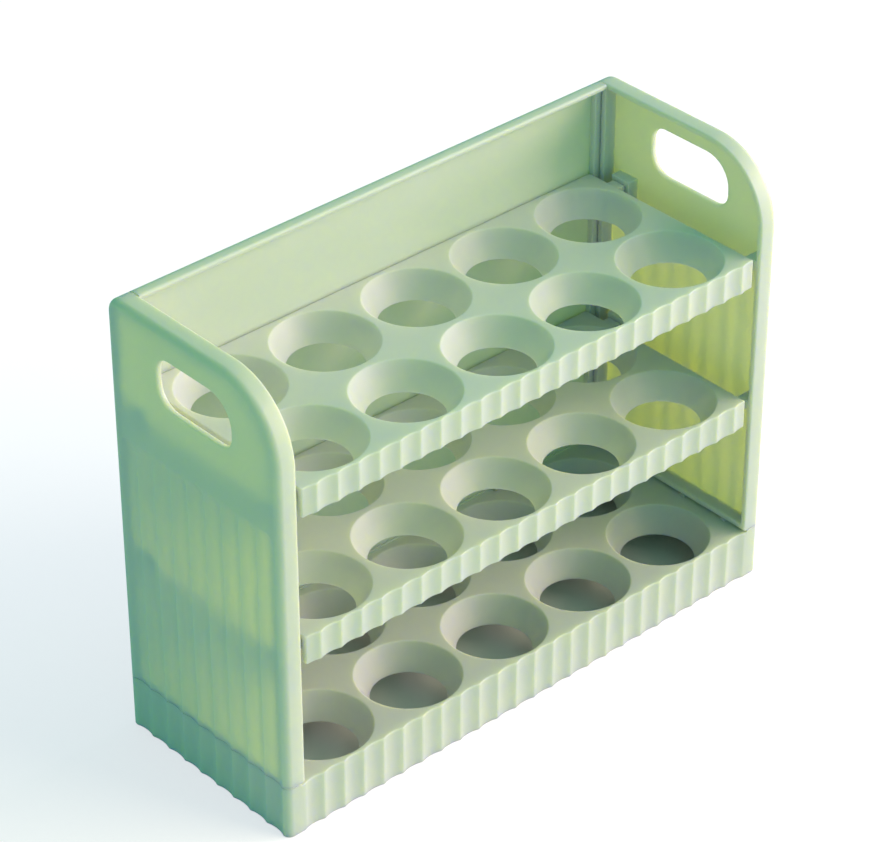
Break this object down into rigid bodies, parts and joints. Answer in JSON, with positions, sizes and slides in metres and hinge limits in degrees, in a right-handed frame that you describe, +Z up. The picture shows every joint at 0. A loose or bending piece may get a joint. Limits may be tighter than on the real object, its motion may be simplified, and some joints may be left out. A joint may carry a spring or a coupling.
{
  "type": "tiered egg holder",
  "caption": "Fluted plastic egg holder with a cupped base, two side panels with hand slots, a back panel and flip-up cup trays.",
  "frame": {"origin": "middle of the footprint, on the surface the holder stands on", "axes": "+X along the holder to the right as seen from its open front, the front faces -Y, +Z up"},
  "size_m": [0.27, 0.1014, 0.2095],
  "materials": {
    "tinted_plastic": "satin"
  },
  "bodies": {
    "stand": {"base_tray": "tinted_plastic", "right_side_panel": "tinted_plastic", "left_side_panel": "tinted_plastic", "back_panel": "tinted_plastic"},
    "middle_flip_tray": {"middle_tray": "tinted_plastic"},
    "top_flip_tray": {"top_tray": "tinted_plastic"}
  },
  "joints": [
    {"name": "middle_tray_flip", "type": "hinge", "parent": "stand", "child": "middle_flip_tray", "pos_m": [0, 0.03315, 0.0915], "axis": [-1, 0, 0], "range_deg": [0, 42]},
    {"name": "top_tray_flip", "type": "hinge", "parent": "stand", "child": "top_flip_tray", "pos_m": [0, 0.03315, 0.1615], "axis": [-1, 0, 0], "range_deg": [0, 95]}
  ]
}
